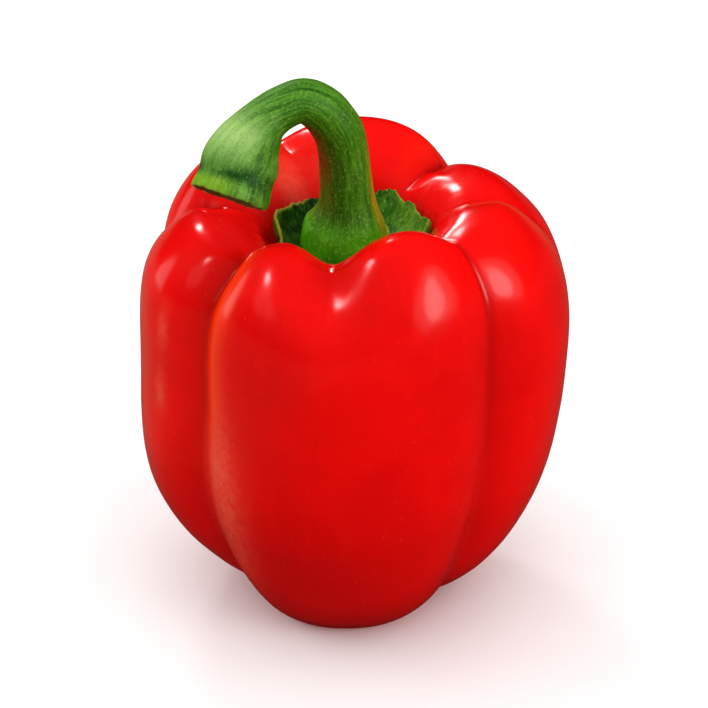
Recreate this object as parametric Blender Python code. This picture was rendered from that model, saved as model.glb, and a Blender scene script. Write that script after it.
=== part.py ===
"""Red bell pepper: the lobed fruit, the wrinkled collar of its calyx and its hooked stem.

The pepper stands on the flat spots of its feet at Z = 0, and the middle of its box is above the
origin. Tables are in millimetres and meshes in metres. A heading is an angle round the upright
axis in degrees: 0 faces -Y, 90 faces +X, 180 faces +Y.
"""

import math

import bmesh
import bpy
import numpy as np
from mathutils import Vector

MM = 0.001

# Driving dimensions of the fruit.
FRUIT_REACH = 43.0  # from the axis to the widest part of a lobe
FRUIT_HEIGHT = 90.0  # from the feet to the crest of a shoulder
AXIS_X, AXIS_Y = -1.3, -1.4  # the fruit's own axis, measured from the middle of the box
FRUIT_SEGMENTS = 84  # round the axis
FRUIT_RINGS = 38  # from the recess to the blossom end

# The meridian of an even lobe, from the middle of the recess over the shoulder, down the side,
# round the foot and up to the blossom end, in shares of the reach and of the height.
PROFILE = (
    (0.000, 0.835),
    (0.140, 0.835),
    (0.270, 0.840),
    (0.345, 0.865),
    (0.410, 0.930),
    (0.540, 0.990),
    (0.715, 1.000),
    (0.860, 0.940),
    (0.960, 0.835),
    (0.985, 0.665),
    (0.975, 0.480),
    (0.945, 0.340),
    (0.870, 0.245),
    (0.755, 0.140),
    (0.605, 0.050),
    (0.440, -0.005),
    (0.270, 0.025),
    (0.120, 0.070),
    (0.000, 0.080),
)
# Where along the meridian the lobes and grooves are told apart: the shoulder, the side, the lower
# side and the foot. They fade out towards the recess and the blossom end.
STATIONS = (0.14, 0.31, 0.50, 0.64, 0.79, 1.0)

# Each lobe: heading, then how far it stands out at the four stations, and its lift at
# the shoulder and the foot.
LOBES = (
    (-81.0, -1.0, -0.5, 1.0, 0.5, -5.0, 1.5),
    (-32.0, -4.0, -3.0, -1.5, 3.0, 1.0, -1.0),
    (20.0, -2.0, -2.5, -1.5, 1.5, 4.0, -1.0),
    (73.0, 0.0, 2.0, 1.0, 1.5, -0.5, 0.5),
    (120.0, 0.5, 2.5, 2.0, -0.5, -3.5, -1.5),
    (172.0, 2.5, -0.5, 0.0, 0.0, -0.5, -1.5),
    (-132.0, 2.5, 0.0, 0.5, 0.0, -1.5, -1.5),
)
LOBE_SPREAD = 26.0  # degrees over which a lobe hands over to the next

# Each groove between two lobes: heading, depth at the four stations, width.
GROOVES = (
    (-52.0, 7.5, 5.5, 5.0, 6.0, 12.0),
    (-5.0, 7.5, 1.5, 1.0, 1.5, 11.0),
    (50.0, 4.0, 6.0, 6.5, 4.0, 14.0),
    (97.0, 3.0, 0.0, 0.0, 1.5, 10.0),
    (142.0, 6.0, 4.5, 4.0, 7.0, 11.0),
    (-154.0, 4.0, 1.5, 3.0, 6.0, 14.0),
    (-106.0, 6.0, 2.5, 0.0, 1.5, 9.0),
)
CREASE_ROUND = 0.16  # how softly a groove's bottom is rounded, as a share of its width

# The stem, from the foot of its dome up, over the hook and down to the cut.
# Each row: x, y, z of its middle from the fruit's axis, then its half width seen from the front
# and its half width from front to back.
STEM = (
    (-0.3, 0.0, 76.0, 9.0, 9.0),
    (-0.3, 0.0, 78.5, 8.9, 8.9),
    (-0.3, 0.0, 80.5, 8.4, 8.4),
    (0.0, 0.0, 82.5, 7.6, 7.6),
    (0.2, 0.0, 85.0, 6.3, 6.3),
    (0.2, 0.0, 88.0, 5.4, 5.4),
    (0.0, 0.0, 92.0, 5.1, 5.1),
    (-0.5, 0.0, 97.5, 4.9, 4.9),
    (-1.6, -0.5, 103.0, 4.8, 4.9),
    (-4.3, -1.5, 107.5, 4.6, 4.8),
    (-7.8, -3.0, 110.0, 4.3, 4.6),
    (-11.4, -4.5, 109.6, 4.2, 4.5),
    (-15.1, -6.5, 107.8, 4.6, 4.7),
    (-17.8, -9.0, 104.9, 6.2, 5.6),
    (-19.6, -11.5, 101.8, 7.5, 6.3),
    (-20.8, -13.5, 98.7, 7.6, 6.6),
    (-22.0, -15.5, 95.9, 7.4, 6.6),
)
STEM_SEGMENTS = 28
STEM_RINGS = 44

# The collar of the calyx: a ring round the dome whose rim turns up into corners.
COLLAR_BORE = 9.4
COLLAR_FLOOR = 76.4
COLLAR_WALL = 1.3
COLLAR_BEND = 12.0  # radius where the rim starts to turn up
RIM_REACH, RIM_TOP = 13.0, 79.5  # the rim between its corners
# Each corner: heading, reach and top.
CORNERS = (
    (-88.0, 13.4, 83.6),
    (-32.0, 13.4, 80.6),
    (22.0, 14.4, 81.4),
    (80.0, 15.9, 81.8),
    (143.0, 14.4, 83.4),
    (-148.0, 14.0, 81.6),
)
CORNER_SPREAD = 17.0  # degrees from a corner to where it has sunk back to the rim
COLLAR_STEPS = 84


def spline(rows, along):
    """Value and slope of a Catmull-Rom curve through rows whose ends lie on the axis."""
    rows = np.array(rows, float)
    flip = np.ones(rows.shape[1])
    flip[0] = -1.0
    padded = np.vstack([rows[1] * flip, rows, rows[-2] * flip])
    return catmull_rom(padded, along)


def open_spline(rows, along):
    """Value and slope of a Catmull-Rom curve through rows, straight on past both ends."""
    rows = np.array(rows, float)
    padded = np.vstack([2 * rows[0] - rows[1], rows, 2 * rows[-1] - rows[-2]])
    return catmull_rom(padded, along)


def catmull_rom(padded, along):
    """Value and slope at each share of the way from the second row to the last but one."""
    spans = len(padded) - 3
    at = np.clip(along, 0.0, 1.0) * spans
    first = np.minimum(at.astype(int), spans - 1)
    u = (at - first)[:, None]
    a, b, c, d = (padded[first + k] for k in range(4))
    bend, twist = 2 * a - 5 * b + 4 * c - d, 3 * b - a - 3 * c + d
    value = b + 0.5 * ((c - a) * u + bend * u**2 + twist * u**3)
    slope = 0.5 * ((c - a) + 2 * bend * u + 3 * twist * u**2)
    return value, slope


def turn_between(heading, centre):
    """Degrees from centre to heading, the short way round."""
    return (heading - centre + 180.0) % 360.0 - 180.0


def down_the_side(along, values):
    """The four stations' values carried along the meridian, nought in the recess and at the end."""
    ends = np.array((0.0, *values, 0.0))
    span = np.clip(np.searchsorted(STATIONS, along, side="right") - 1, 0, len(STATIONS) - 2)
    first, last = np.array(STATIONS)[span], np.array(STATIONS)[span + 1]
    share = 0.5 - 0.5 * np.cos(np.pi * np.clip((along - first) / (last - first), 0.0, 1.0))
    return ends[span] * (1 - share) + ends[span + 1] * share


def fruit_points(heading, along):
    """Places on the fruit's skin in millimetres, for headings and shares of the meridian."""
    value, slope = spline(PROFILE, along)
    radius, z = value[:, 0] * FRUIT_REACH, value[:, 1] * FRUIT_HEIGHT
    weight = [np.exp(-((turn_between(heading, lobe[0]) / LOBE_SPREAD) ** 2)) for lobe in LOBES]
    total = sum(weight)
    for w, lobe in zip(weight, LOBES):
        radius = radius + w / total * down_the_side(along, lobe[1:5])
        z = z + w / total * down_the_side(along, (lobe[5], 0.0, 0.0, lobe[6]))
    depth = np.zeros_like(z)
    for at, *depths, width in GROOVES:
        x = turn_between(heading, at) / width
        valley = np.exp(CREASE_ROUND - np.sqrt(x * x + CREASE_ROUND**2))
        depth += valley * down_the_side(along, depths)
    out_r, out_z = -slope[:, 1] * FRUIT_HEIGHT, slope[:, 0] * FRUIT_REACH
    length = np.maximum(np.hypot(out_r, out_z), 1e-6)
    radius = radius - depth * out_r / length
    z = z - depth * out_z / length
    angle = np.radians(heading)
    return np.stack([AXIS_X + radius * np.sin(angle), AXIS_Y - radius * np.cos(angle), z], axis=1)


def new_object(name, bm, material):
    """One node: the mesh with its faces turned outwards, in its own material."""
    bmesh.ops.recalc_face_normals(bm, faces=bm.faces)
    mesh = bpy.data.meshes.new(name)
    bm.to_mesh(mesh)
    bm.free()
    mesh.materials.append(material)
    mesh.shade_smooth()
    obj = bpy.data.objects.new(name, mesh)
    bpy.context.scene.collection.objects.link(obj)
    return obj


def new_material(name, colour, roughness):
    material = bpy.data.materials.new(name)
    material.use_nodes = True
    shader = material.node_tree.nodes["Principled BSDF"]
    shader.inputs["Base Color"].default_value = (*colour, 1.0)
    shader.inputs["Roughness"].default_value = roughness
    shader.inputs["Metallic"].default_value = 0.0
    return material


def make_fruit():
    """A UV sphere whose rings are moved onto the lobed skin, with its feet cut flat."""
    bm = bmesh.new()
    bmesh.ops.create_uvsphere(bm, u_segments=FRUIT_SEGMENTS, v_segments=FRUIT_RINGS, radius=1.0)
    ball = np.array([v.co for v in bm.verts])
    heading = np.degrees(np.arctan2(ball[:, 0], -ball[:, 1]))
    along = np.arccos(np.clip(ball[:, 2], -1, 1)) / math.pi
    for vertex, place in zip(bm.verts, fruit_points(heading, along) * MM):
        vertex.co = place
    cut = bmesh.ops.bisect_plane(
        bm,
        geom=bm.verts[:] + bm.edges[:] + bm.faces[:],
        plane_co=(0, 0, 0),
        plane_no=(0, 0, -1),
        clear_outer=True,
    )
    rim = [e for e in cut["geom_cut"] if isinstance(e, bmesh.types.BMEdge)]
    bmesh.ops.holes_fill(bm, edges=rim)
    return new_object("fruit", bm, new_material("pepper_red_skin", (0.78, 0.01, 0.005), 0.2))


def close_rings(bm, rings):
    """Quads between each ring and the next, each ring closed on itself."""
    for low, high in zip(rings, rings[1:]):
        for k in range(len(low)):
            j = (k + 1) % len(low)
            bm.faces.new((low[k], low[j], high[j], high[k]))


def stem_stations():
    """Middle, both cross axes and half widths at each ring of the stem."""
    value, slope = open_spline(STEM, np.linspace(0.0, 1.0, STEM_RINGS))
    for row, way in zip(value, slope):
        forward = Vector(way[:3]).normalized()
        seen = Vector((0, 1, 0)).cross(forward).normalized()
        yield Vector(row[:3]), seen, forward.cross(seen), row[3], row[4]


def make_stem():
    """A ring of points at each station, joined to the next and capped at both ends."""
    bm = bmesh.new()
    axis = Vector((AXIS_X, AXIS_Y, 0))
    rings = []
    for middle, seen, deep, half_seen, half_deep in stem_stations():
        ring = []
        for k in range(STEM_SEGMENTS):
            turn = 2 * math.pi * k / STEM_SEGMENTS
            place = middle + seen * half_seen * math.cos(turn) + deep * half_deep * math.sin(turn)
            ring.append(bm.verts.new((axis + place) * MM))
        rings.append(ring)
    close_rings(bm, rings)
    bm.faces.new(rings[0])
    bm.faces.new(rings[-1])
    return new_object("stem", bm, new_material("pepper_stem_green", (0.12, 0.32, 0.03), 0.45))


def collar_section(heading):
    """The collar's outline at a heading, as (radius, height), once round its thickness."""
    reach, top = RIM_REACH, RIM_TOP
    for corner, corner_reach, corner_top in CORNERS:
        near = math.exp(-((turn_between(heading, corner) / CORNER_SPREAD) ** 2))
        reach += near * (corner_reach - RIM_REACH)
        top += near * (corner_top - RIM_TOP)
    waist = (COLLAR_FLOOR + top + COLLAR_WALL) / 2
    return (
        (COLLAR_BORE, COLLAR_FLOOR),
        (COLLAR_BEND, COLLAR_FLOOR),
        ((COLLAR_BEND + reach) / 2, COLLAR_FLOOR + COLLAR_WALL),
        (reach, waist),
        (reach, top),
        (reach - COLLAR_WALL, top),
        (reach - COLLAR_WALL, waist),
        (COLLAR_BEND - COLLAR_WALL, COLLAR_FLOOR + COLLAR_WALL),
        (COLLAR_BORE, COLLAR_FLOOR + COLLAR_WALL),
    )


def make_calyx():
    """One section for each heading, closed into a ring."""
    bm = bmesh.new()
    rings = []
    for step in range(COLLAR_STEPS):
        heading = 360.0 * step / COLLAR_STEPS
        angle = math.radians(heading)
        out = Vector((math.sin(angle), -math.cos(angle), 0))
        middle = Vector((AXIS_X + STEM[0][0], AXIS_Y + STEM[0][1], 0))
        ring = [middle + out * radius + Vector((0, 0, z)) for radius, z in collar_section(heading)]
        rings.append([bm.verts.new(place * MM) for place in ring])
    close_rings(bm, rings + rings[:1])
    return new_object("calyx", bm, new_material("pepper_calyx_green", (0.03, 0.13, 0.02), 0.6))


def main():
    for obj in list(bpy.data.objects):
        bpy.data.objects.remove(obj)
    make_fruit()
    make_calyx()
    make_stem()


main()
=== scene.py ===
import math

import bpy
from mathutils import Matrix, Vector


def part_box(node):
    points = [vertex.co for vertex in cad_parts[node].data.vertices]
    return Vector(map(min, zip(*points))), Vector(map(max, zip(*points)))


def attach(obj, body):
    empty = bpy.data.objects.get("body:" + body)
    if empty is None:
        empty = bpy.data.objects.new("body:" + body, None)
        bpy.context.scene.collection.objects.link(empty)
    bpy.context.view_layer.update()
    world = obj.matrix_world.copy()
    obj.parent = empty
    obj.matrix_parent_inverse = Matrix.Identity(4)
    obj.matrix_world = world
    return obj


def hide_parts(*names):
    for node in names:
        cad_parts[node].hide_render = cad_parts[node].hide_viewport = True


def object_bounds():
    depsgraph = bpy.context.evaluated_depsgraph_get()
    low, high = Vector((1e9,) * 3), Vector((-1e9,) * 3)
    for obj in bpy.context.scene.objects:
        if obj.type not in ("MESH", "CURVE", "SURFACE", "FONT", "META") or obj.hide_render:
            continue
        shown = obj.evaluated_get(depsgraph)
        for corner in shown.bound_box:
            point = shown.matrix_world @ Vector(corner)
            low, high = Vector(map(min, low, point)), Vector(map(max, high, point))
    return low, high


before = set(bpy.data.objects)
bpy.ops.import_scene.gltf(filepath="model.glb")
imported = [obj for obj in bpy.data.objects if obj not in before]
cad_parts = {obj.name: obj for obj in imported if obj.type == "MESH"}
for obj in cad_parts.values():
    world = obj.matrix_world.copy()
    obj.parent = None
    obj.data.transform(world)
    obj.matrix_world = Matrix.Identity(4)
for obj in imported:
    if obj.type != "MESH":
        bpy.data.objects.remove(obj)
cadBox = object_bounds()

mm = 0.001
guideSteps = 24      # straight steps between two points of a guide
print("frame loaded, box in mm:", [[round(v / mm, 1) for v in corner] for corner in cadBox])


class Value:
    # one number or vector running through a node tree, so that sums of them lay nodes
    def __init__(self, wiring, socket):
        self.wiring = wiring
        self.socket = socket

    def __add__(self, other):
        return self.wiring.math("ADD", self, other)

    def __radd__(self, other):
        return self.wiring.math("ADD", other, self)

    def __sub__(self, other):
        return self.wiring.math("SUBTRACT", self, other)

    def __rsub__(self, other):
        return self.wiring.math("SUBTRACT", other, self)

    def __mul__(self, other):
        return self.wiring.math("MULTIPLY", self, other)

    def __rmul__(self, other):
        return self.wiring.math("MULTIPLY", other, self)

    def __truediv__(self, other):
        return self.wiring.math("DIVIDE", self, other)

    def __rtruediv__(self, other):
        return self.wiring.math("DIVIDE", other, self)

    def __neg__(self):
        return self.wiring.math("MULTIPLY", self, -1.0)


class Wiring:
    # lays nodes into a tree; a socket takes a plain number, a Value or another node's first output
    def __init__(self, tree):
        self.tree = tree

    def plug(self, value, socket):
        if isinstance(value, bpy.types.Node):
            value = value.outputs[0]
        if isinstance(value, Value):
            value = value.socket
        if isinstance(value, bpy.types.NodeSocket):
            self.tree.links.new(value, socket)
        else:
            socket.default_value = value

    def node(self, kind, values=None, **settings):
        made = self.tree.nodes.new(kind)
        for name, value in settings.items():
            setattr(made, name, value)
        for name, value in (values or {}).items():
            self.plug(value, made.inputs[name])
        return made

    def math(self, operation, *values):
        made = self.node("ShaderNodeMath", dict(enumerate(values)), operation=operation)
        return Value(self, made.outputs[0])

    def vector(self, operation, *values):
        made = self.node("ShaderNodeVectorMath", dict(enumerate(values)), operation=operation)
        isNumber = operation in ("LENGTH", "DOT_PRODUCT", "DISTANCE")
        return Value(self, made.outputs["Value" if isNumber else "Vector"])

    def stretch(self, vector, factor):
        made = self.node("ShaderNodeVectorMath", {0: vector, "Scale": factor}, operation="SCALE")
        return Value(self, made.outputs["Vector"])

    def join(self, x, y, z):
        return Value(self, self.node("ShaderNodeCombineXYZ", {"X": x, "Y": y, "Z": z}).outputs[0])

    def split(self, vector):
        made = self.node("ShaderNodeSeparateXYZ", {0: vector})
        return [Value(self, socket) for socket in made.outputs]

    def ramp(self, value, start, end, low=0.0, high=1.0):
        # goes smoothly from low to high as value goes from start to end
        values = {"Value": value, "From Min": start, "From Max": end, "To Min": low, "To Max": high}
        made = self.node("ShaderNodeMapRange", values, interpolation_type="SMOOTHSTEP")
        return Value(self, made.outputs["Result"])

    def bell(self, value, centre, width):
        # 1 at centre, falling away on both sides
        share = (value - centre) / width
        return self.math("EXPONENT", -(share * share))

    def noise(self, vector, size, seed, detail=2.0, roughness=0.5):
        # size is that of one blob, in the vector's own unit
        values = {"Vector": vector, "W": seed, "Scale": 1.0 / size}
        values |= {"Detail": detail, "Roughness": roughness}
        return Value(self, self.node("ShaderNodeTexNoise", values, noise_dimensions="4D").outputs[0])


class GeometryWiring(Wiring):
    # a geometry tree with named inputs
    def __init__(self, name):
        super().__init__(bpy.data.node_groups.new(name, "GeometryNodeTree"))
        self.source = self.tree.nodes.new("NodeGroupInput")
        self.sink = self.tree.nodes.new("NodeGroupOutput")

    def ask(self, name, kind="NodeSocketFloat"):
        self.tree.interface.new_socket(name, in_out="INPUT", socket_type=kind)
        return Value(self, self.source.outputs[name])

    def give(self, name, value, kind="NodeSocketFloat"):
        self.tree.interface.new_socket(name, in_out="OUTPUT", socket_type=kind)
        self.plug(value, self.sink.inputs[name])

    def call(self, group, values):
        made = self.node("GeometryNodeGroup", node_tree=group)
        for name, value in values.items():
            self.plug(value, made.inputs[name])
        return {socket.name: Value(self, socket) for socket in made.outputs}

    def position(self):
        return self.node("GeometryNodeInputPosition")

    def ball(self, segments, rings):
        values = {"Segments": segments, "Rings": rings, "Radius": 1.0}
        return Value(self, self.node("GeometryNodeMeshUVSphere", values).outputs["Mesh"])

    def guide(self, guideObject):
        # the smooth line through a guide's points
        info = self.node("GeometryNodeObjectInfo", {"Object": guideObject})
        line = self.node("GeometryNodeMeshToCurve", {0: info.outputs["Geometry"]})
        smooth = self.node("GeometryNodeCurveSplineType", {0: line}, spline_type="CATMULL_ROM")
        fine = self.node("GeometryNodeSetSplineResolution", {0: smooth, "Resolution": guideSteps})
        return Value(self, fine.outputs[0])

    def along(self, line, share, *names):
        # place and direction at a share of the line's length, then the named values carried there
        where = {"Curves": line, "Factor": share}
        made = self.node("GeometryNodeSampleCurve", where, mode="FACTOR")
        found = [Value(self, made.outputs["Position"]), Value(self, made.outputs["Tangent"])]
        for name in names:
            carried = self.node("GeometryNodeInputNamedAttribute", {"Name": name}, data_type="FLOAT")
            made = self.node("GeometryNodeSampleCurve", where | {"Value": carried}, mode="FACTOR")
            found.append(Value(self, made.outputs["Value"]))
        return found

    def store(self, geometry, name, value, kind="FLOAT"):
        values = {"Geometry": geometry, "Name": name, "Value": value}
        return self.node("GeometryNodeStoreNamedAttribute", values, data_type=kind, domain="POINT")

    def finish(self, shape, spot, numbers, grain):
        # keeps the values that the finish reads, moves every point to its spot, and ends the tree
        for name, value in numbers.items():
            shape = self.store(shape, name, value)
        shape = self.store(shape, "grain", grain, "FLOAT_VECTOR")
        moved = self.node("GeometryNodeSetPosition", {"Geometry": shape, "Position": spot})
        smooth = self.node("GeometryNodeSetShadeSmooth", {0: moved})
        real = self.node("GeometryNodeRealizeInstances", {0: smooth})
        values = {"Geometry": real, "Material": self.ask("Material", "NodeSocketMaterial")}
        self.give("Geometry", self.node("GeometryNodeSetMaterial", values), "NodeSocketGeometry")
        return self.tree


def guideLine(name, rows, valueNames=()):
    # a chain of points in mm; what follows each point's place is carried as named values
    mesh = bpy.data.meshes.new(name)
    points = [[v * mm for v in row[:3]] for row in rows]
    mesh.from_pydata(points, [(k, k + 1) for k in range(len(rows) - 1)], [])
    for column, valueName in enumerate(valueNames, 3):
        carried = mesh.attributes.new(valueName, "FLOAT", "POINT")
        for k, row in enumerate(rows):
            carried.data[k].value = row[column] * mm
    line = bpy.data.objects.new(name, mesh)
    bpy.context.scene.collection.objects.link(line)
    return line


def grow(name, tree, settings, guides=()):
    # runs a tree once and keeps what it makes as a plain mesh
    piece = bpy.data.objects.new(name, bpy.data.meshes.new(name))
    bpy.context.scene.collection.objects.link(piece)
    modifier = piece.modifiers.new(name, "NODES")
    modifier.node_group = tree
    for item in tree.interface.items_tree:
        if item.in_out == "INPUT":
            modifier[item.identifier] = settings[item.name]
    graph = bpy.context.evaluated_depsgraph_get()
    mesh = bpy.data.meshes.new_from_object(piece.evaluated_get(graph), depsgraph=graph)
    piece.modifiers.remove(modifier)
    piece.data = mesh
    for guide in guides:
        bpy.data.objects.remove(guide)
    print(name, "has", len(mesh.vertices), "points")
    return piece


def shade(red, green, blue):
    # a colour as a painter reads it, 0 to 255, turned into light
    def light(v):
        v = v / 255
        return v / 12.92 if v <= 0.04045 else ((v + 0.055) / 1.055) ** 2.4
    return (light(red), light(green), light(blue), 1.0)


class Finish(Wiring):
    # a Principled material under construction
    def __init__(self, name, **constants):
        self.material = bpy.data.materials.new(name)
        self.material.use_nodes = True
        super().__init__(self.material.node_tree)
        self.shader = self.tree.nodes["Principled BSDF"]
        for label, value in constants.items():
            self.shader.inputs[label.replace("_", " ")].default_value = value

    def place(self):
        return Value(self, self.node("ShaderNodeTexCoord").outputs["Object"])

    def carried(self, name, isVector=False):
        made = self.node("ShaderNodeAttribute", attribute_name=name)
        return Value(self, made.outputs["Vector" if isVector else "Fac"])

    def blend(self, share, first, second):
        # of the mixing node's sockets, 6 and 7 are the colours to mix and 2 the mixed one
        made = self.node("ShaderNodeMix", {0: share, 6: first, 7: second}, data_type="RGBA")
        return Value(self, made.outputs[2])

    def bump(self, height, depth, below=None):
        made = self.node("ShaderNodeBump", {"Strength": 1.0, "Distance": depth, "Height": height})
        if below:
            self.plug(below, made.inputs["Normal"])
        return Value(self, made.outputs[0])

    def paint(self, colour, roughness, normal):
        self.plug(colour, self.shader.inputs["Base Color"])
        self.plug(roughness, self.shader.inputs["Roughness"])
        self.plug(normal, self.shader.inputs["Normal"])
        return self.material


studio = {
    "cameraHeading": 1.07,   # degrees round from the front, to the right
    "cameraLift": 30.98,     # degrees above the floor
    "cameraRoll": -0.46,
    "cameraDistance": 0.6967,
    "aimForward": 1.4,       # mm from the middle of the part towards the front
    "aimHeight": 0.455,      # share of the part's height
    "lens": 177.0,
    "floorInGloss": (0.26, 0.03, 0.025, 1.0),       # the fruit's own light warms what it mirrors
    "floorLeftInGloss": (0.38, 0.13, 0.09, 1.0),    # and, as the gloss mirrors it, the floor to its left is painted paler: a painted reflection
    "skyAbove": 1.05,        # matt light from overhead and from below; neither shows in gloss
    "skyBelow": 0.30,
    "skyTurns": (-0.6, 0.9),              # how high the sky starts and stops brightening, from -1 to 1
    "floorReach": 3.0,                    # half the floor's side, in metres
    "floorShades": (0.88, 0.92),
    "floorPalesOver": (-0.04, -0.11),     # metres to the left
    # name, heading and lift in degrees, distance, width and height in metres, brightness of its
    # face, colour; a matt one doesn't show in gloss
    "softboxes": (
        ("key_right", 61.0, 14.0, 0.9, 0.80, 0.75, 0.9, (1.0, 0.99, 0.97)),
        ("key_heart", 60.0, 14.0, 0.88, 0.36, 0.44, 3.3, (1.0, 0.99, 0.97)),
        ("fill_left", -60.0, 33.0, 0.9, 0.46, 0.36, 0.5, (1.0, 1.0, 1.0)),
        ("back", -159.0, 36.0, 0.9, 0.20, 0.12, 16.0, (1.0, 1.0, 1.0)),
        ("low_left", -112.0, 2.0, 0.9, 0.30, 0.60, 1.2, (1.0, 1.0, 1.0)),
        ("matt_left", -98.0, 30.0, 0.9, 0.60, 0.60, 1.1, (1.0, 0.98, 0.95)),
    ),
    # small lamps close to the skin, seen only in its gloss: heading, lift and distance, then the
    # spot they light in mm from the middle of the part's footprint, width, spread, brightness
    "closeLamps": (
        ("front_spot", -70.0, 48.0, 0.16, (4.2, -30.0, 88.8), 0.064, 12.0, 28.0),
        ("corner_spot", -164.0, 18.0, 0.16, (19.9, -12.1, 87.4), 0.030, 12.0, 14.0),
    ),
}


def around(heading, lift, distance):
    # a place seen from the aim point, heading 0 towards the front and lift 0 level
    turn, rise = math.radians(heading), math.radians(lift)
    flat = distance * math.cos(rise)
    return Vector((flat * math.sin(turn), -flat * math.cos(turn), distance * math.sin(rise)))


def addStudio():
    scene = bpy.context.scene
    scene.view_settings.view_transform = "Standard"
    scene.view_settings.look = "Medium High Contrast"
    low, high = (Vector(corner) for corner in cadBox)
    middle = (low + high) / 2
    aim = Vector((middle.x, middle.y - studio["aimForward"] * mm, high.z * studio["aimHeight"]))

    lens = bpy.data.cameras.new("camera")
    lens.lens = studio["lens"]
    camera = bpy.data.objects.new("camera", lens)
    away = around(studio["cameraHeading"], studio["cameraLift"], studio["cameraDistance"])
    turn = (-away).to_track_quat("-Z", "Y").to_matrix()
    turn = turn @ Matrix.Rotation(math.radians(studio["cameraRoll"]), 3, "Z")
    camera.matrix_world = Matrix.Translation(aim + away) @ turn.to_4x4()
    scene.collection.objects.link(camera)
    scene.camera = camera

    world = bpy.data.worlds.new("studio")
    world.use_nodes = True
    room = Wiring(world.node_tree)
    _, _, up = room.split(room.node("ShaderNodeTexCoord").outputs["Generated"])
    sky = world.node_tree.nodes["Background"]
    sky.inputs["Color"].default_value = (1.0, 1.0, 1.0, 1.0)
    strength = room.ramp(up, *studio["skyTurns"], studio["skyBelow"], studio["skyAbove"])
    room.plug(strength, sky.inputs["Strength"])
    scene.world = world
    world.cycles_visibility.glossy = False

    for name, heading, lift, distance, width, height, brightness, colour in studio["softboxes"]:
        lamp = bpy.data.lights.new(name, "AREA")
        lamp.shape = "ELLIPSE"
        lamp.size, lamp.size_y = width, height
        lamp.energy = brightness * math.pi * (math.pi / 4 * width * height)
        lamp.color = colour
        box = bpy.data.objects.new(name, lamp)
        away = around(heading, lift, distance)
        turn = away.to_track_quat("Z", "Y").to_matrix().to_4x4()
        box.matrix_world = Matrix.Translation(aim + away) @ turn
        box.visible_glossy = not name.startswith("matt")
        scene.collection.objects.link(box)

    for name, heading, lift, distance, target, width, spread, brightness in studio["closeLamps"]:
        lamp = bpy.data.lights.new(name, "AREA")
        lamp.shape = "DISK"
        lamp.size = width
        lamp.spread = math.radians(spread)
        lamp.energy = brightness * math.pi * (math.pi / 4 * width * width) * (spread / 180) ** 2
        close = bpy.data.objects.new(name, lamp)
        away = around(heading, lift, distance)
        turn = away.to_track_quat("Z", "Y").to_matrix().to_4x4()
        lit = Vector((middle.x, middle.y, low.z)) + Vector(target) * mm
        close.matrix_world = Matrix.Translation(lit + away) @ turn
        close.visible_camera = False
        close.visible_diffuse = False
        scene.collection.objects.link(close)

    floorMesh = bpy.data.meshes.new("floor")
    reach = studio["floorReach"]
    corners = [(-reach, -reach, 0), (reach, -reach, 0), (reach, reach, 0), (-reach, reach, 0)]
    floorMesh.from_pydata(corners, [], [(0, 1, 2, 3)])
    floor = bpy.data.objects.new("floor", floorMesh)
    scene.collection.objects.link(floor)
    finish = Finish("pale_floor")
    grain = finish.noise(finish.place(), 0.02, 3.0, detail=4.0)
    darker, paler = ((v, v, v, 1.0) for v in studio["floorShades"])
    colour = finish.blend(grain, darker, paler)
    # in gloss only, the floor is painted dark red, paler to the left: a painted reflection
    isGloss = finish.node("ShaderNodeLightPath").outputs["Is Glossy Ray"]
    acrossFloor, _, _ = finish.split(finish.place())
    toTheLeft = finish.ramp(acrossFloor, *studio["floorPalesOver"])
    mirrored = finish.blend(toTheLeft, studio["floorInGloss"], studio["floorLeftInGloss"])
    colour = finish.blend(isGloss, colour, mirrored)
    floorMesh.materials.append(finish.paint(colour, 0.9, finish.bump(grain, 0.0001)))
    floor.visible_diffuse = False
    print("studio set")


addStudio()


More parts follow.
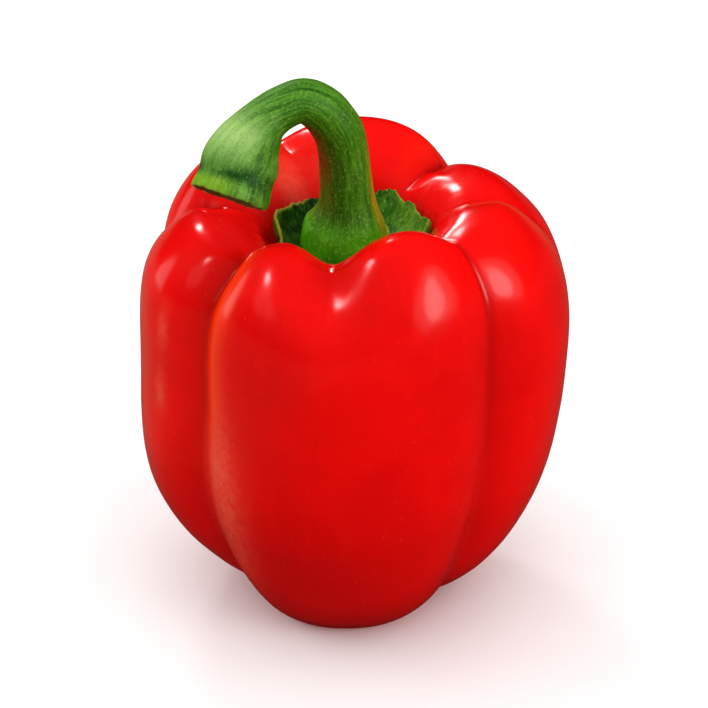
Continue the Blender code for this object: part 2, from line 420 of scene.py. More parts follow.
fruit = {
    "reach": 1.0058,        # from the axis to a lobe's widest part, in shares of the CAD's half width
    "height": 0.97,         # from the feet to the crest of a shoulder, in shares of the CAD's height
    "axis": (-1.3, -1.4),   # mm from the middle of the CAD's box
    "segments": 336,
    "rings": 220,
    # the meridian of an even lobe, from the middle of the recess over the shoulder, down the
    # side, round the foot and up to the blossom end, in shares of reach and height
    "meridian": (
        (0.000, 0.835), (0.140, 0.835), (0.270, 0.840), (0.345, 0.865), (0.410, 0.930),
        (0.540, 0.990), (0.715, 1.000), (0.860, 0.940), (0.960, 0.835), (0.985, 0.665),
        (0.968, 0.480), (0.925, 0.340), (0.860, 0.240), (0.755, 0.140), (0.605, 0.050),
        (0.440, -0.005), (0.270, 0.025), (0.130, 0.066), (0.080, 0.078), (0.045, 0.070),
        (0.000, 0.068),
    ),
    # shares of the meridian's length where the lobes and grooves are told apart: nought, the
    # shoulder, the side, the lower side, the foot and nought again
    "stations": (0.085, 0.214, 0.447, 0.659, 0.829, 1.0),
    # heading, then mm of stand-out at the four stations, lift at the shoulder and at the foot
    "lobes": (
        (-81.0, -1.0, -0.5, 1.8, 0.6, -5.0, 1.5),
        (-32.0, -4.0, -3.0, -0.9, 0.8, 1.0, -1.0),
        (20.0, -2.0, -2.5, -1.0, 0.4, 4.0, -1.0),
        (73.0, 0.0, 2.0, 1.5, 1.5, -0.5, 0.5),
        (120.0, 0.5, 2.5, 2.6, -0.5, -3.5, -1.5),
        (172.0, 2.5, -0.5, 0.0, 0.0, -0.5, -1.5),
        (-132.0, 2.5, 0.0, 0.5, 0.0, -1.5, -1.5),
    ),
    "lobeSpread": 26.0,
    # heading, mm of depth at the four stations, width in degrees, how rounded its bottom is in
    # shares of the width, mm of the thin crease along it, how orange the skin beside it has stayed
    # (below 0 for the side of the lower heading), and 1 if it fades out soon below the shoulder
    "grooves": (
        (-52.0, 7.5, 5.5, 5.0, 6.0, 12.0, 0.14, 0.5, 1.7, 0.0),
        (-5.0, 7.4, 0.0, 0.0, 0.3, 12.5, 0.60, 0.0, 0.0, 1.0),
        (50.0, 4.0, 6.0, 6.5, 4.0, 14.0, 0.20, 0.5, 0.0, 0.0),
        (97.0, 3.0, 0.0, 0.0, 1.5, 10.0, 0.20, 0.4, -0.7, 0.0),
        (142.0, 6.0, 4.5, 4.0, 7.0, 11.0, 0.14, 0.6, 0.2, 0.0),
        (-154.0, 4.0, 1.5, 3.0, 6.0, 14.0, 0.26, 0.15, 0.2, 0.0),
        (-106.0, 6.0, 2.5, 0.0, 1.5, 9.0, 0.16, 0.5, 0.3, 0.0),
    ),
    "fullDepth": 7.5,       # mm of a groove that counts as the deepest valley, where the painted shade is fullest
    "creaseWidth": 0.10,    # in shares of a groove's width, as the next two are
    "orangeWidth": 0.45,
    "orangeAt": (-0.9, 0.6),
    "fadesOver": (0.50, 0.25),       # shares of the way down between which a short groove fades
    "wander": 2.2,          # degrees that a groove strays from its heading
    "wanderSize": 0.9,
    "recessEdge": (0.1, 0.2),        # shares between which the recess turns into the outside
    "dentDepth": 0.45,
    "dentSize": 26.0,
    "rippleDepth": 0.10,
    "rippleSize": 7.0,
    "puckerDepth": 0.5,
    "puckerSize": 0.16,
    # patches of pale, mottled painted reflection, where the skin mirrors pale light: heading and share
    # of the way down of a patch, then its reach in degrees and in shares of the way down
    "paintedSheens": (
        (-42.0, 0.55, 6.0, 0.07), (-38.0, 0.65, 7.0, 0.11), (-66.0, 0.40, 2.2, 0.03),
        (-67.0, 0.49, 2.2, 0.03), (-84.0, 0.62, 8.0, 0.08), (150.0, 0.45, 12.0, 0.12),
        (-142.0, 0.14, 12.0, 0.05), (-172.0, 0.13, 9.0, 0.04),
    ),
    # valley, crease and recess are colours of painted shade; the pale sheen colour is a painted
    # reflection
    "colours": {
        "ripe": (222, 3, 2), "bright": (238, 7, 2), "streak": (240, 24, 4), "lower": (176, 2, 5),
        "orange": (254, 70, 2), "bloom": (238, 92, 70), "valley": (170, 2, 4),
        "crease": (140, 2, 2), "recess": (170, 10, 4), "scar": (96, 84, 30),
        "speck": (255, 120, 90),
    },
    "seed": 11.0,
    "slot": "pepper_skin",
}
stationNames = ("Shoulder", "Side", "Low", "Foot")
fruitLow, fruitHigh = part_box("fruit")
fruitSize = fruitHigh - fruitLow
fruitAxis = (fruitLow + fruitHigh) / 2 + Vector((*fruit["axis"], 0.0)) * mm


def turnedFrom(tree, heading, centre):
    # degrees from centre to heading, the short way round
    return tree.math("WRAP", heading - centre, 180.0, -180.0)


def carriedDown(tree, shares, values):
    # the four stations' values, each by its share at this height
    total = shares[0] * values[0]
    for share, value in zip(shares[1:], values[1:]):
        total = total + share * value
    return total


def lobeTree():
    tree = GeometryWiring("lobe")
    heading, centre, spread = (tree.ask(name) for name in ("Heading", "Centre", "Spread"))
    shares = [tree.ask(name + " Share") for name in stationNames]
    out = [tree.ask(name) for name in stationNames]
    crest, foot = tree.ask("Crest Lift"), tree.ask("Foot Lift")
    weight = tree.bell(turnedFrom(tree, heading, centre), 0.0, spread)
    tree.give("Weight", weight)
    tree.give("Out", weight * carriedDown(tree, shares, out))
    tree.give("Lift", weight * (shares[0] * crest + shares[3] * foot))
    return tree.tree


def grooveTree():
    tree = GeometryWiring("groove")
    heading, centre, width, soft = (tree.ask(n) for n in ("Heading", "Centre", "Width", "Round"))
    shares = [tree.ask(name + " Share") for name in stationNames]
    depths = [tree.ask(name) for name in stationNames]
    thin, orange, orangeAt = tree.ask("Crease"), tree.ask("Orange"), tree.ask("Orange At")
    x = turnedFrom(tree, heading, centre) / width
    bottom = tree.math("SQRT", x * x + soft * soft)
    valley = tree.math("EXPONENT", soft - bottom)
    crease = tree.bell(x, 0.0, fruit["creaseWidth"]) * (shares[0] + shares[1] * 0.5)
    tree.give("Depth", valley * carriedDown(tree, shares, depths) + crease * thin)
    beside = tree.bell(x, orangeAt, fruit["orangeWidth"]) * orange
    tree.give("Orange", beside * (shares[0] * 0.9 + shares[1] * 0.45))
    # the crease is also kept to darken the skin with painted shade
    tree.give("Crease", crease * thin / (0.5 * mm))
    return tree.tree


def fruitTree():
    tree = GeometryWiring("fruit")
    meridian = tree.ask("Meridian", "NodeSocketObject")
    axisX, axisY = tree.ask("Axis X"), tree.ask("Axis Y")
    segments, rings = tree.ask("Segments", "NodeSocketInt"), tree.ask("Rings", "NodeSocketInt")
    spread, wander = tree.ask("Lobe Spread"), tree.ask("Wander")
    dentDepth, dentSize = tree.ask("Dent Depth"), tree.ask("Dent Size")
    rippleDepth, rippleSize = tree.ask("Ripple Depth"), tree.ask("Ripple Size")
    pucker, seed = tree.ask("Pucker Depth"), tree.ask("Seed")

    # a ball gives every point its heading and its share of the way from recess to blossom end
    ball = tree.ball(segments, rings)
    x, y, z = tree.split(tree.position())
    turn = tree.math("ARCTAN2", x, -y)
    share = tree.math("ARCCOSINE", z) / math.pi
    sine, cosine = tree.math("SINE", turn), tree.math("COSINE", turn)
    even = tree.join(sine, -cosine, share * 4.0)
    stray = (tree.noise(even, fruit["wanderSize"], seed) - 0.5) * 2.0 * wander
    stray = stray * tree.ramp(share, 0.1, 0.3)
    heading = tree.math("DEGREES", turn) + stray

    place, way = tree.along(tree.guide(meridian), share)
    radius, _, height = tree.split(place)
    wayOut, _, wayUp = tree.split(way)
    stations = fruit["stations"]
    rises = [tree.ramp(share, start, end) for start, end in zip(stations, stations[1:])]
    shares = [rises[k] - rises[k + 1] for k in range(4)]
    shareInputs = {name + " Share": value for name, value in zip(stationNames, shares)}

    weight, out, lift = 0.0, 0.0, 0.0
    group = lobeTree()
    for centre, *stand, crest, foot in fruit["lobes"]:
        values = {"Heading": heading, "Centre": centre, "Spread": spread, **shareInputs}
        values |= {name: v * mm for name, v in zip(stationNames, stand)}
        found = tree.call(group, values | {"Crest Lift": crest * mm, "Foot Lift": foot * mm})
        weight, out, lift = found["Weight"] + weight, found["Out"] + out, found["Lift"] + lift
    radius, height = radius + out / weight, height + lift / weight

    depth, orange, crease = 0.0, 0.0, 0.0
    group = grooveTree()
    for centre, *depths, width, soft, thin, orangeLeft, fades in fruit["grooves"]:
        values = {"Heading": heading, "Centre": centre, "Width": width, "Round": soft}
        values |= {name: v * mm for name, v in zip(stationNames, depths)}
        values |= shareInputs | {"Crease": thin * mm, "Orange": abs(orangeLeft)}
        values["Orange At"] = fruit["orangeAt"][orangeLeft > 0]
        if fades:
            values["Shoulder Share"] = shares[0] * tree.ramp(share, *fruit["fadesOver"])
        found = tree.call(group, values)
        depth, orange = found["Depth"] + depth, found["Orange"] + orange
        crease = found["Crease"] + crease
    valley = depth / (fruit["fullDepth"] * mm)

    # slow dents and long low ripples in the flesh, and folds where the skin meets the collar
    ground = tree.join(sine * radius, -(cosine * radius), height * 0.55)
    dents = (tree.noise(ground, dentSize, seed + 1.0) - 0.5) * 2.0 * dentDepth
    ripples = (tree.noise(ground, rippleSize, seed + 2.0) - 0.5) * 2.0 * rippleDepth
    folds = tree.noise(tree.join(sine, cosine, share * 3.0), fruit["puckerSize"], seed + 3.0) - 0.5
    inRecess = tree.ramp(share, 0.02, 0.05) - tree.ramp(share, 0.09, 0.2)
    outside = tree.ramp(share, *fruit["recessEdge"])
    inward = depth - (dents + ripples) * outside - folds * 2.0 * pucker * inRecess
    radius, height = radius + inward * wayUp, height - inward * wayOut

    # pale patches of painted reflection, kept for the finish
    bloom = 0.0
    for centre, down, wide, tall in fruit["paintedSheens"]:
        patch = tree.bell(turnedFrom(tree, heading, centre), 0.0, wide)
        bloom = patch * tree.bell(share, down, tall) + bloom

    height = tree.math("MAXIMUM", height, 0.0)   # the feet are flat where they rest
    spot = tree.join(axisX + radius * sine, axisY - radius * cosine, height)
    flow = tree.join(sine * 40.0 * mm, -(cosine * 40.0 * mm), share * 160.0 * mm)
    # the finish paints shade from valley and crease, and reflection from the pale patches
    numbers = {"valley": valley, "orange": orange, "crease": crease, "bloom": bloom}
    numbers["downTheSide"] = share
    return tree.finish(ball, spot, numbers, flow)


def redSkin():
    tint = {name: shade(*paint) for name, paint in fruit["colours"].items()}
    gloss = {"Coat_Weight": 1.0, "Coat_Roughness": 0.17, "Coat_IOR": 1.42, "Specular_IOR_Level": 0.06}
    finish = Finish("red_skin", **gloss)
    place, flow = finish.place(), finish.carried("grain", True)
    x, y, z = finish.split(flow)
    long = finish.join(x, y, z * 0.16)
    clouds = finish.noise(place, 0.022, 1.0, detail=3.0)
    streaks = finish.noise(long, 0.0022, 2.0, detail=4.0, roughness=0.6)
    down = finish.carried("downTheSide")

    # ripe red, clouded and streaked, deeper towards the foot
    colour = finish.blend(finish.ramp(clouds, 0.35, 0.65), tint["ripe"], tint["bright"])
    colour = finish.blend(finish.ramp(streaks, 0.5, 0.75) * 0.25, colour, tint["streak"])
    colour = finish.blend(finish.ramp(down, 0.5, 0.95) * 0.5, colour, tint["lower"])
    # orange that hasn't ripened, in a drifting band, and pale mottled patches of painted reflection
    drift = finish.ramp(finish.noise(long, 0.009, 9.0, detail=3.0), 0.3, 0.6, 0.35, 1.0)
    colour = finish.blend(finish.carried("orange") * drift, colour, tint["orange"])
    mottle = finish.ramp(finish.noise(place, 0.0016, 8.0, detail=5.0, roughness=0.7), 0.35, 0.65)
    colour = finish.blend(finish.carried("bloom") * (0.35 + 0.4 * mottle), colour, tint["bloom"])
    # painted shade, darker in the grooves, along their creases and in the recess, and the brown scar at
    # the blossom end
    colour = finish.blend(finish.ramp(finish.carried("valley"), 0.5, 1.0) * 0.4, colour, tint["valley"])
    colour = finish.blend(finish.carried("crease") * 0.5, colour, tint["crease"])
    colour = finish.blend(finish.ramp(down, 0.16, 0.03) * 0.5, colour, tint["recess"])
    colour = finish.blend(finish.ramp(down, 0.976, 0.984), colour, tint["scar"])

    # pale pin-prick specks, in patches
    spots = finish.node("ShaderNodeTexVoronoi", {"Vector": place, "Scale": 520.0}, feature="F1")
    speck = finish.ramp(Value(finish, spots.outputs["Distance"]), 0.16, 0.04)
    patchy = finish.ramp(finish.noise(place, 0.012, 4.0), 0.45, 0.65)
    colour = finish.blend(speck * patchy * 0.18, colour, tint["speck"])

    roughness = 0.2 + 0.12 * finish.noise(place, 0.006, 5.0, detail=4.0)
    fine = finish.noise(place, 0.0011, 6.0, detail=2.0)
    slow = finish.noise(long, 0.0035, 7.0, detail=2.0)
    normal = finish.bump(fine, 0.000018, finish.bump(slow, 0.00012))
    return finish.paint(colour, roughness, normal)


def addFruit():
    reach, height = fruit["reach"] * fruitSize.x / 2 / mm, fruit["height"] * fruitSize.z / mm
    rows = [(r * reach, 0.0, z * height) for r, z in fruit["meridian"]]
    meridian = guideLine("meridian", rows)
    settings = {
        "Meridian": meridian,
        "Axis X": fruitAxis.x,
        "Axis Y": fruitAxis.y,
        "Segments": fruit["segments"],
        "Rings": fruit["rings"],
        "Lobe Spread": fruit["lobeSpread"],
        "Wander": fruit["wander"],
        "Dent Depth": fruit["dentDepth"] * mm,
        "Dent Size": fruit["dentSize"] * mm,
        "Ripple Depth": fruit["rippleDepth"] * mm,
        "Ripple Size": fruit["rippleSize"] * mm,
        "Pucker Depth": fruit["puckerDepth"] * mm,
        "Seed": fruit["seed"],
        "Material": redSkin(),
    }
    piece = grow("pepper_fruit", fruitTree(), settings, [meridian])
    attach(piece, "root")
    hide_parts("fruit")
    return piece


addFruit()
print("fruit grown")


stem = {
    "segments": 200,
    "rings": 300,
    # from the foot of the dome up, over the hook and down to the cut, in mm: the middle from the
    # fruit's axis and above the CAD's foot, then half the width seen from the front and from the side
    "path": (
        (-0.3, 0.0, -0.6, 9.0, 9.0), (-0.3, 0.0, 2.5, 8.9, 8.9), (-0.3, 0.0, 4.5, 8.4, 8.4),
        (0.0, 0.0, 6.5, 7.6, 7.6), (0.2, 0.0, 9.0, 6.3, 6.3), (0.2, 0.0, 12.0, 5.4, 5.4),
        (0.0, 0.0, 16.0, 5.1, 5.1), (-0.5, 0.0, 21.5, 4.9, 4.9), (-1.6, -0.5, 27.0, 4.8, 4.9),
        (-4.3, -1.5, 31.5, 4.6, 4.8), (-7.8, -3.0, 34.0, 4.3, 4.6), (-11.4, -4.5, 33.6, 4.2, 4.5),
        (-15.1, -6.5, 31.8, 4.6, 4.7), (-17.8, -9.0, 28.9, 6.2, 5.6), (-19.6, -11.5, 25.8, 7.5, 6.3),
        (-20.8, -13.5, 22.7, 7.6, 6.6), (-22.0, -15.4, 19.8, 7.4, 6.6),
    ),
    "footShare": 0.04,     # share of the rings spent on the hidden foot
    "faceShare": 0.07,     # and on the cut face
    "girth": 5.2,          # mm that stand for its radius, and for its length below, in the grain
    "length": 68.0,
    "ribDepth": 0.22,
    "ribWidth": 1.5,
    "lumpDepth": 0.35,
    "lumpSize": 5.5,
    "bandDepth": 0.35,     # the waist just before the cut
    "band": (0.93, 0.028),   # its middle and width in shares of the run
    "lip": (0.985, 0.02),    # and those of the lip after it
    "lipHeight": 0.25,
    "domeEdge": (0.10, 0.02),
    "raggedDepth": 0.75,   # how uneven the cut's rim is
    "hollow": 0.9,         # how far the pith has sunk inside the rim
    # of these, outside is painted light, hook, shadow and waist are painted shade, the pale sheen is a
    # painted reflection and the rust is partly a painted reflection of the red fruit
    "colours": {
        "darkFibre": (40, 94, 0), "lightFibre": (72, 134, 4), "hairline": (130, 186, 60),
        "outside": (112, 168, 66), "paintedHookSheen": (188, 222, 138), "freckle": (150, 194, 96),
        "hook": (26, 90, 0), "rib": (30, 84, 0), "rustAndRedReflection": (136, 58, 4), "shadow": (34, 62, 0),
        "waist": (14, 76, 4), "lip": (134, 176, 24), "dome": (96, 190, 0), "dot": (150, 206, 84),
        "footEdge": (190, 140, 10), "paleGrit": (158, 206, 96), "darkGrit": (20, 70, 0),
        "pith": (150, 160, 84), "palePith": (196, 200, 130), "pithMiddle": (110, 104, 50),
        "ring": (74, 66, 22),
    },
    "seed": 23.0,
    "slot": "stem_green",
}


def stemTree():
    tree = GeometryWiring("stem")
    path = tree.ask("Path", "NodeSocketObject")
    axisX, axisY = tree.ask("Axis X"), tree.ask("Axis Y")
    segments, rings = tree.ask("Segments", "NodeSocketInt"), tree.ask("Rings", "NodeSocketInt")
    footShare, faceShare = tree.ask("Foot Share"), tree.ask("Face Share")
    ribDepth, ribWidth = tree.ask("Rib Depth"), tree.ask("Rib Width")
    lumpDepth, bandDepth = tree.ask("Lump Depth"), tree.ask("Band Depth")
    ragged, hollow, seed = tree.ask("Ragged Depth"), tree.ask("Hollow"), tree.ask("Seed")

    # a ball stretched along the path: its first pole is the hidden foot, its last the cut face
    ball = tree.ball(segments, rings)
    x, y, z = tree.split(tree.position())
    turn = tree.math("ARCTAN2", y, x)
    share = tree.math("ARCCOSINE", z) / math.pi
    sine, cosine = tree.math("SINE", turn), tree.math("COSINE", turn)
    spread = tree.math("MINIMUM", share / footShare, 1.0)
    faceIn = tree.math("MINIMUM", (1.0 - share) / faceShare, 1.0)   # 1 at the rim, 0 at the middle
    run = tree.node("ShaderNodeMapRange", {"Value": share, "From Min": footShare})
    tree.plug(1.0 - faceShare, run.inputs["From Max"])
    run = Value(tree, run.outputs["Result"])

    place, way, halfSeen, halfDeep = tree.along(tree.guide(path), run, "seen", "deep")
    seen = tree.vector("NORMALIZE", tree.vector("CROSS_PRODUCT", (0.0, 1.0, 0.0), way))
    deep = tree.vector("CROSS_PRODUCT", way, seen)

    # ribs run with the path; lumps are rounder; the waist and its lip come just before the cut
    girth = stem["girth"] * mm
    grain = tree.join(cosine * girth, sine * girth, run * stem["length"] * mm)
    gx, gy, gz = tree.split(grain)
    ribs = tree.noise(tree.join(gx, gy, gz * 0.07), ribWidth, seed, detail=3.0) - 0.5
    lumps = tree.noise(tree.join(gx, gy, gz * 0.5), stem["lumpSize"] * mm, seed + 1.0) - 0.5
    uneven = (tree.noise(tree.join(gx, gy, 0.0), 4.0 * mm, seed + 2.0) - 0.5) * 0.11
    band = tree.bell(run + uneven, *stem["band"])
    lip = tree.bell(run + uneven, *stem["lip"])
    dome = tree.ramp(run, *stem["domeEdge"])
    height = ribs * 2.0 * ribDepth * (1.0 - dome * 0.5) + lumps * 2.0 * lumpDepth
    height = height - band * bandDepth + lip * stem["lipHeight"] * mm

    reachSeen, reachDeep = (halfSeen + height) * cosine, (halfDeep + height) * sine
    # across the cut: a thin rim, a step down, then the sunken pith
    inside = tree.ramp(faceIn, 0.92, 0.80)
    torn = tree.noise(tree.join(gx, gy, faceIn * 3.0 * mm), 1.6 * mm, seed + 3.0, detail=4.0)
    torn = (torn - 0.5) * 2.0
    atFace = tree.ramp(run, 0.97, 1.0)
    push = torn * ragged * atFace - inside * hollow * (0.75 + 0.25 * (1.0 - faceIn))
    swell = spread * faceIn
    spot = tree.vector("ADD", place, tree.stretch(seen, reachSeen * swell))
    spot = tree.vector("ADD", spot, tree.stretch(deep, -(reachDeep * swell)))
    spot = tree.vector("ADD", spot, tree.stretch(way, push))
    spot = tree.vector("ADD", spot, tree.join(axisX, axisY, 0.0))
    numbers = {"run": run, "rib": ribs + 0.5, "band": band, "face": 1.0 - faceIn}
    return tree.finish(ball, spot, numbers, grain)


def stemSkin():
    tint = {name: shade(*paint) for name, paint in stem["colours"].items()}
    finish = Finish("stem_skin", Coat_Weight=0.08, Coat_Roughness=0.3, Specular_IOR_Level=0.22)
    grain = finish.carried("grain", True)
    x, y, z = finish.split(grain)
    run, rib, band, face = (finish.carried(name) for name in ("run", "rib", "band", "face"))
    fibres = finish.noise(finish.join(x, y, z * 0.09), 0.8 * mm, 31.0, detail=5.0, roughness=0.7)
    fine = finish.noise(finish.join(x, y, z * 0.06), 0.3 * mm, 32.0, detail=2.0)
    patches = finish.noise(finish.join(x, y, z * 0.6), 4.5 * mm, 33.0, detail=3.0)
    inner = x / (-stem["girth"] * mm)      # 1 on the inside of the hook, -1 on its outside

    colour = finish.blend(finish.ramp(fibres, 0.3, 0.7), tint["darkFibre"], tint["lightFibre"])
    colour = finish.blend(finish.ramp(fine, 0.5, 0.72) * 0.3, colour, tint["hairline"])
    # painted light: lighter green on the hook's outer side from partway along the run, where light
    # falls
    paintedOuterLight = finish.ramp(inner, 0.3, -0.9) * finish.ramp(run, 0.42, 0.6)
    colour = finish.blend(paintedOuterLight * 0.3 * finish.ramp(fibres, 0.35, 0.6), colour, tint["outside"])
    # painted reflection: a pale sheen on the outer side near the hook's end
    paintedHookSheen = finish.bell(run, 0.83, 0.065) * finish.ramp(inner, 0.3, -0.3)
    colour = finish.blend(paintedHookSheen * (0.3 + 0.6 * fibres), colour, tint["paintedHookSheen"])
    freckled = finish.ramp(run, 0.6, 0.75) * finish.ramp(patches, 0.45, 0.62)
    freckled = freckled * finish.ramp(fibres, 0.35, 0.6)
    colour = finish.blend(freckled * 0.4, colour, tint["freckle"])
    # painted shade: darker on the inside of the hook, which faces down towards the fruit
    hook = finish.bell(run, 0.60, 0.15) * finish.ramp(inner, 0.0, 0.9)
    colour = finish.blend(hook * 0.6, colour, tint["hook"])
    colour = finish.blend(finish.ramp(rib, 0.45, 0.15) * 0.3, colour, tint["rib"])
    # brownish red on the shaft's inner side: partly the stem's own rust, partly a painted reflection of
    # the red fruit
    rustAndRedReflection = finish.bell(run, 0.38, 0.15) * finish.ramp(inner, 0.15, 0.8)
    rustAndRedReflection = rustAndRedReflection * finish.ramp(patches, 0.2, 0.5)
    colour = finish.blend(rustAndRedReflection * 0.85, colour, tint["rustAndRedReflection"])
    shadowed = finish.bell(inner, 0.25, 0.35) * finish.bell(run, 0.34, 0.17)
    colour = finish.blend(shadowed * 0.5, colour, tint["shadow"])
    # painted shade in the hollow of the waist before the cut
    colour = finish.blend(band * finish.ramp(patches, 0.4, 0.6), colour, tint["waist"])
    lit = finish.ramp(run, 0.94, 0.98) * finish.ramp(inner, 0.2, -0.5)
    colour = finish.blend(lit * 0.7, colour, tint["lip"])
    dome = finish.ramp(run, 0.18, 0.05) * finish.ramp(patches, 0.3, 0.65, 0.4, 0.9)
    colour = finish.blend(dome, colour, tint["dome"])
    dots = finish.noise(finish.place(), 0.7 * mm, 34.0, detail=2.0)
    dots = finish.ramp(dots, 0.52, 0.68) * finish.ramp(run, 0.24, 0.08)
    colour = finish.blend(dots * 0.4, colour, tint["dot"])
    edge = finish.ramp(inner, -0.8, -0.98) * finish.bell(run, 0.2, 0.16)
    colour = finish.blend(edge * 0.6, colour, tint["footEdge"])

    grit = finish.noise(finish.place(), 0.42 * mm, 35.0, detail=3.0, roughness=0.6)
    colour = finish.blend(finish.ramp(grit, 0.52, 0.7) * 0.3, colour, tint["paleGrit"])
    colour = finish.blend(finish.ramp(grit, 0.48, 0.3) * 0.3, colour, tint["darkGrit"])

    # the cut: a brown ring inside the skin's edge, then straw coloured pith with a darker middle
    pith = finish.blend(finish.ramp(fibres, 0.35, 0.65), tint["pith"], tint["palePith"])
    pith = finish.blend(finish.ramp(face, 0.5, 0.95) * 0.6, pith, tint["pithMiddle"])
    ring = finish.ramp(face, 0.03, 0.08) - finish.ramp(face, 0.2, 0.3)
    pith = finish.blend(ring * 0.9, pith, tint["ring"])
    colour = finish.blend(finish.ramp(face, 0.0, 0.03), colour, pith)

    roughness = 0.40 + 0.2 * fibres
    normal = finish.bump(fine, 0.00008, finish.bump(fibres, 0.00016, finish.bump(grit, 0.00005)))
    return finish.paint(colour, roughness, normal)


def addStem():
    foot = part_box("stem")[0].z / mm
    rows = [(x, y, z + foot, seen, deep) for x, y, z, seen, deep in stem["path"]]
    path = guideLine("stem_path", rows, ("seen", "deep"))
    settings = {
        "Path": path,
        "Axis X": fruitAxis.x,
        "Axis Y": fruitAxis.y,
        "Segments": stem["segments"],
        "Rings": stem["rings"],
        "Foot Share": stem["footShare"],
        "Face Share": stem["faceShare"],
        "Rib Depth": stem["ribDepth"] * mm,
        "Rib Width": stem["ribWidth"] * mm,
        "Lump Depth": stem["lumpDepth"] * mm,
        "Band Depth": stem["bandDepth"] * mm,
        "Ragged Depth": stem["raggedDepth"] * mm,
        "Hollow": stem["hollow"] * mm,
        "Seed": stem["seed"],
        "Material": stemSkin(),
    }
    piece = grow("pepper_stem", stemTree(), settings, [path])
    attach(piece, "root")
    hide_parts("stem")
    return piece


addStem()
print("stem grown")


calyx = {
    "segments": 540,
    "rings": 64,
    "bore": 8.6,         # mm, as all below
    "floor": 0.5,        # this and the heights below are mm above the CAD's lowest edge
    "thickness": 1.5,
    "rimReach": 13.0,
    "rimTop": 3.4,
    # heading, reach and top of each corner
    "corners": (
        (-118.0, 13.2, 5.8), (-88.0, 13.6, 8.0), (-32.0, 13.4, 4.6), (22.0, 14.4, 5.2),
        (80.0, 16.7, 7.2), (112.0, 14.4, 6.2), (143.0, 13.9, 7.0), (-148.0, 13.4, 4.6),
    ),
    "cornerSpread": 17.0,   # degrees
    "girth": 12.0,          # mm that stand for its radius, and for its width below, in the grain
    "width": 7.0,
    "waveSize": 4.5,
    "foldDepth": 0.8,
    "foldWidth": 1.5,
    "toothHeight": 1.6,
    "toothWidth": 1.0,
    "waveDepth": 0.8,
    "colours": {
        "darkVein": (24, 76, 6), "lightVein": (56, 122, 16), "blotch": (106, 160, 34),
        "fleck": (140, 190, 92), "fold": (8, 38, 4), "rim": (140, 160, 40), "bore": (110, 150, 30),
        "shadedSide": (8, 40, 2), "litSide": (136, 184, 60), "leftEdge": (186, 176, 50),
    },
    "seed": 37.0,
    "slot": "calyx_green",
}


def calyxTree():
    tree = GeometryWiring("calyx")
    axisX, axisY = tree.ask("Axis X"), tree.ask("Axis Y")
    segments, rings = tree.ask("Segments", "NodeSocketInt"), tree.ask("Rings", "NodeSocketInt")
    bore, floor, thickness = tree.ask("Bore"), tree.ask("Floor"), tree.ask("Thickness")
    rimReach, rimTop, spread = tree.ask("Rim Reach"), tree.ask("Rim Top"), tree.ask("Corner Spread")
    foldDepth, foldWidth = tree.ask("Fold Depth"), tree.ask("Fold Width")
    toothHeight, toothWidth = tree.ask("Tooth Height"), tree.ask("Tooth Width")
    wave, seed = tree.ask("Wave Depth"), tree.ask("Seed")

    # a plain ring gives every point its heading and its place round the collar's section
    hoop = tree.node("GeometryNodeCurvePrimitiveCircle", {"Resolution": segments, "Radius": 1.0})
    section = tree.node("GeometryNodeCurvePrimitiveCircle", {"Resolution": rings, "Radius": 0.25})
    ring = tree.node("GeometryNodeCurveToMesh", {"Curve": hoop, "Profile Curve": section})
    x, y, z = tree.split(tree.position())
    turn = tree.math("ARCTAN2", x, -y)
    sine, cosine = tree.math("SINE", turn), tree.math("COSINE", turn)
    out = tree.vector("LENGTH", tree.join(x, y, 0.0)) - 1.0
    roundSection = tree.math("ARCTAN2", z, out)
    up = 0.5 + 0.5 * tree.math("COSINE", roundSection)     # 0 at the bore, 1 at the rim
    side = tree.math("SINE", roundSection)                 # 1 on the upper face, -1 underneath

    reach, top = rimReach, rimTop
    heading = tree.math("DEGREES", turn)
    for centre, cornerReach, cornerTop in calyx["corners"]:
        near = tree.bell(turnedFrom(tree, heading, centre), 0.0, spread)
        reach = reach + near * ((cornerReach - calyx["rimReach"]) * mm)
        top = top + near * ((cornerTop - calyx["rimTop"]) * mm)
    rim = tree.ramp(up, 0.55, 1.0)
    girth = calyx["girth"] * mm
    ground = tree.join(sine * girth, cosine * girth, 0.0)
    teeth = tree.noise(ground, toothWidth, seed, detail=3.0, roughness=0.6) - 0.5
    top = top + teeth * 2.0 * toothHeight * rim
    waves = (tree.noise(ground, calyx["waveSize"] * mm, seed + 1.0) - 0.5) * 2.0 * wave
    reach = reach + waves * rim

    quarter = up * (math.pi / 2)
    rise, swing = tree.math("COSINE", quarter), tree.math("SINE", quarter)
    radius = bore + (reach - bore) * swing
    height = floor + (top - floor) * (1.0 - rise)
    # straight out of the sheet, towards the stem at the rim and upwards at the bore
    normal = tree.vector("NORMALIZE", tree.join(-((top - floor) * swing), 0.0, (reach - bore) * rise))
    outward, _, upward = tree.split(normal)
    ground = tree.join(sine * girth, cosine * girth, up * 3.0 * mm)
    folds = tree.noise(ground, foldWidth, seed + 2.0, detail=4.0) - 0.5
    step = side * thickness * 0.5 + folds * 2.0 * foldDepth * tree.ramp(up, 0.1, 0.6)
    radius, height = radius + outward * step, height + upward * step
    spot = tree.join(axisX + radius * sine, axisY - radius * cosine, height)
    grain = tree.join(sine * girth, cosine * girth, up * calyx["width"] * mm)
    return tree.finish(ring.outputs["Mesh"], spot, {"up": up, "fold": folds + 0.5}, grain)


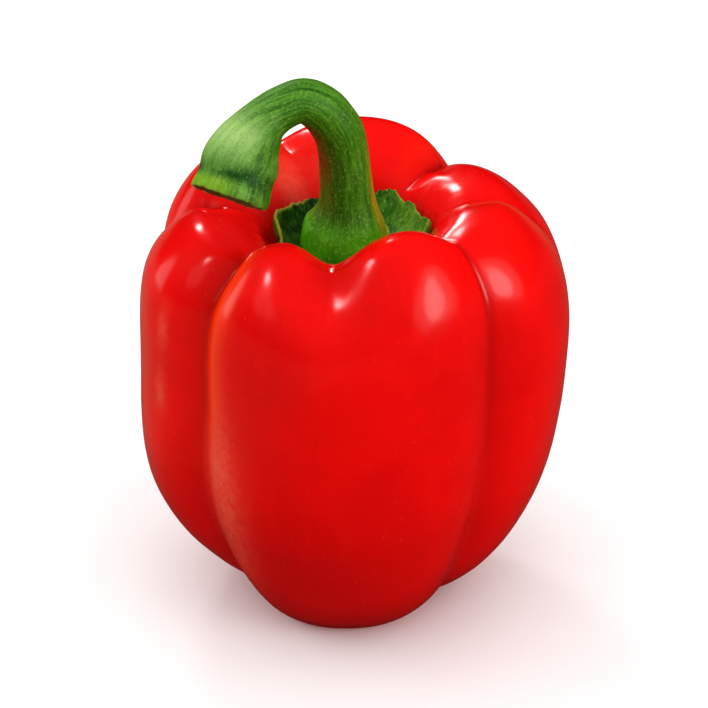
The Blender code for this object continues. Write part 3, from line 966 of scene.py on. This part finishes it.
def calyxSkin():
    tint = {name: shade(*paint) for name, paint in calyx["colours"].items()}
    finish = Finish("calyx_skin", Specular_IOR_Level=0.35)
    grain = finish.carried("grain", True)
    x, y, z = finish.split(grain)
    up, fold = finish.carried("up"), finish.carried("fold")
    veins = finish.noise(finish.join(x, y, z * 0.25), 0.9 * mm, 41.0, detail=4.0, roughness=0.65)
    flecks = finish.noise(finish.place(), 0.6 * mm, 42.0, detail=2.0)
    blotches = finish.noise(finish.place(), 2.6 * mm, 43.0, detail=3.0)
    colour = finish.blend(finish.ramp(veins, 0.35, 0.65), tint["darkVein"], tint["lightVein"])
    colour = finish.blend(finish.ramp(blotches, 0.42, 0.6) * 0.75, colour, tint["blotch"])
    colour = finish.blend(finish.ramp(flecks, 0.55, 0.7) * 0.6, colour, tint["fleck"])
    # painted shade: darker in the troughs of the folds
    colour = finish.blend(finish.ramp(fold, 0.5, 0.2) * 0.7, colour, tint["fold"])
    rim = finish.ramp(up, 0.97, 0.998) * finish.ramp(blotches, 0.4, 0.6)
    colour = finish.blend(rim * 0.7, colour, tint["rim"])
    colour = finish.blend(finish.ramp(up, 0.12, 0.0) * 0.6, colour, tint["bore"])
    across, _, _ = finish.split(finish.place())
    colour = finish.blend(finish.ramp(across, 0.0, -10.0 * mm) * 0.55, colour, tint["shadedSide"])
    right = finish.ramp(across, 4.0 * mm, 13.0 * mm) * finish.ramp(flecks, 0.35, 0.6, 0.4, 1.0)
    colour = finish.blend(right * 0.6, colour, tint["litSide"])
    leftEdge = finish.ramp(up, 0.92, 0.985) * finish.ramp(across, -8.0 * mm, -11.0 * mm)
    colour = finish.blend(leftEdge * 0.6, colour, tint["leftEdge"])
    roughness = 0.5 + 0.2 * veins
    normal = finish.bump(flecks, 0.0001, finish.bump(veins, 0.00025))
    return finish.paint(colour, roughness, normal)


def addCalyx():
    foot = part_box("calyx")[0].z
    settings = {
        "Axis X": fruitAxis.x + stem["path"][0][0] * mm,
        "Axis Y": fruitAxis.y,
        "Segments": calyx["segments"],
        "Rings": calyx["rings"],
        "Bore": calyx["bore"] * mm,
        "Floor": foot + calyx["floor"] * mm,
        "Thickness": calyx["thickness"] * mm,
        "Rim Reach": calyx["rimReach"] * mm,
        "Rim Top": foot + calyx["rimTop"] * mm,
        "Corner Spread": calyx["cornerSpread"],
        "Fold Depth": calyx["foldDepth"] * mm,
        "Fold Width": calyx["foldWidth"] * mm,
        "Tooth Height": calyx["toothHeight"] * mm,
        "Tooth Width": calyx["toothWidth"] * mm,
        "Wave Depth": calyx["waveDepth"] * mm,
        "Seed": calyx["seed"],
        "Material": calyxSkin(),
    }
    piece = grow("pepper_calyx", calyxTree(), settings)
    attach(piece, "root")
    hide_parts("calyx")
    return piece


addCalyx()
print("calyx grown")
